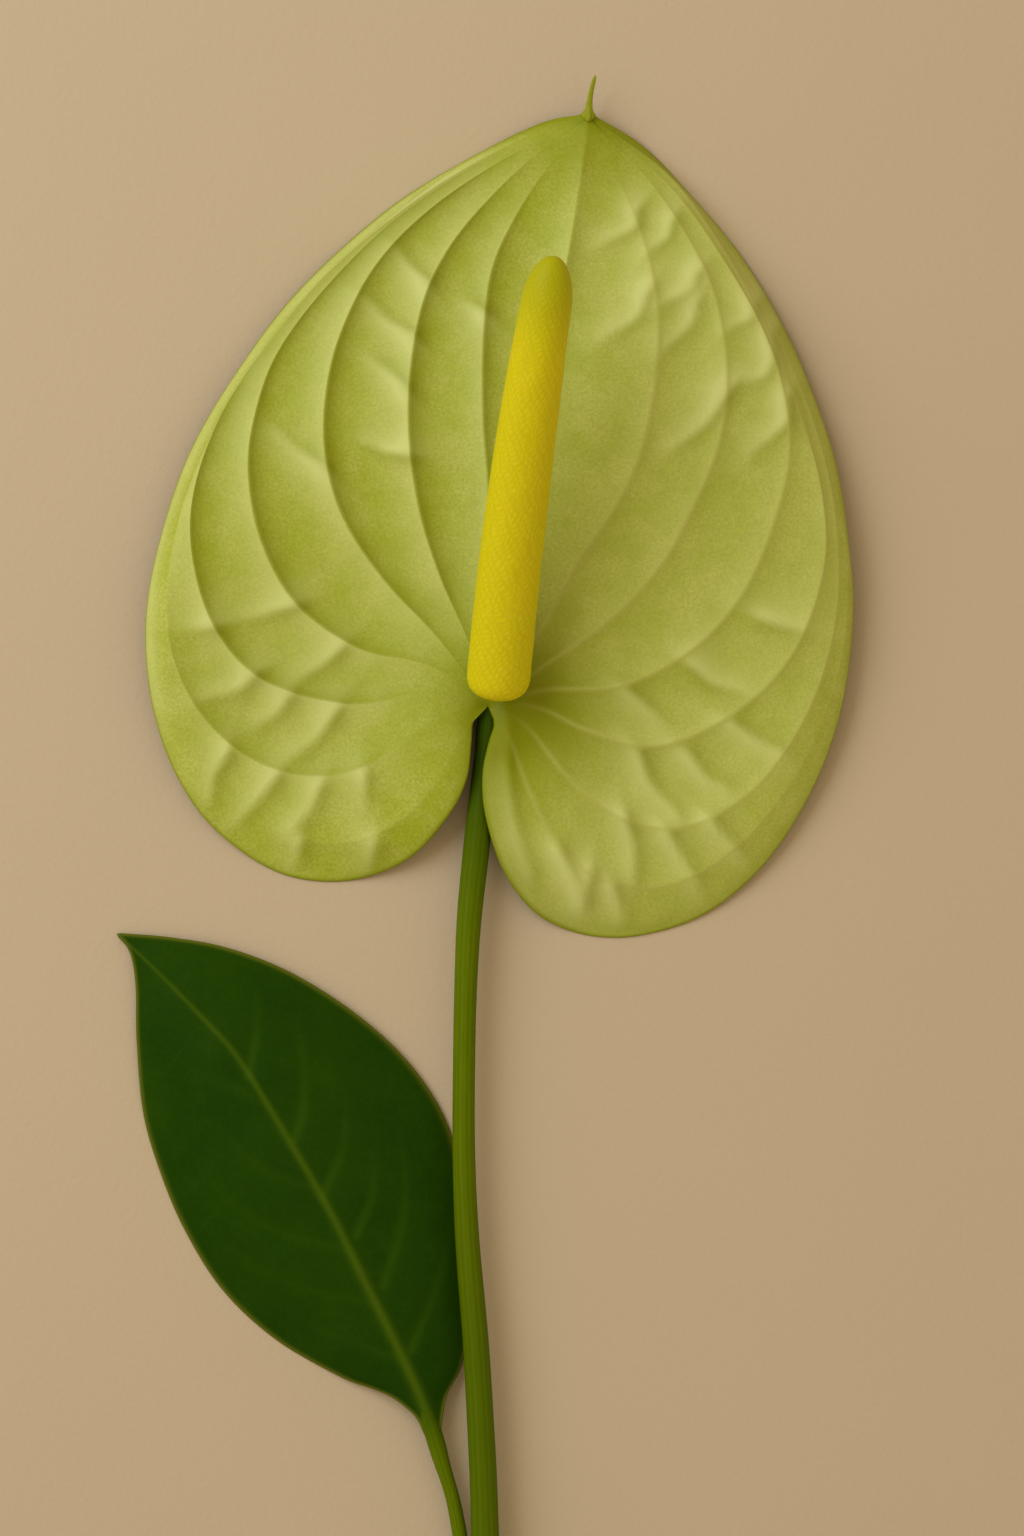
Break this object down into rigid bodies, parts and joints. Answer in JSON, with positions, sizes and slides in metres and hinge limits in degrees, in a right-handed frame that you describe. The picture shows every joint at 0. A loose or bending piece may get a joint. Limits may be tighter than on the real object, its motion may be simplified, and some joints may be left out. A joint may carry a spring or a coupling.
{
  "type": "anthurium",
  "caption": "Cut anthurium shoot lying on its back: green heart-shaped spathe with a yellow spadix on a long stem, and one dark leaf, joined on a short cut stem.",
  "frame": {"origin": "middle of the footprint, on the surface that the shoot lies on", "axes": "+Y along the shoot from the cut stem to the tip of the spathe, +Z away from the surface, the side that the flower faces, +X to the right of the flower seen from above"},
  "size_m": [0.1334, 0.293, 0.0478],
  "materials": {
    "spathe": "waxy, semi-gloss, pale yellow-green with raised veins",
    "spadix": "fine pebbled, satin, yellow with a greener tip",
    "flower_stem": "smooth, satin, olive green with fine lengthwise streaks",
    "leaf": "smooth, satin, dark green with lighter veins",
    "leaf_stalk": "smooth, satin, green",
    "main_stem": "dull, ringed with leaf scars, pale where it is cut"
  },
  "bodies": {
    "root": {"spathe": "spathe", "spadix": "spadix", "flower_stem": "flower_stem", "leaf_blade": "leaf", "leaf_stalk": "leaf_stalk", "main_stem": "main_stem"}
  },
  "joints": []
}
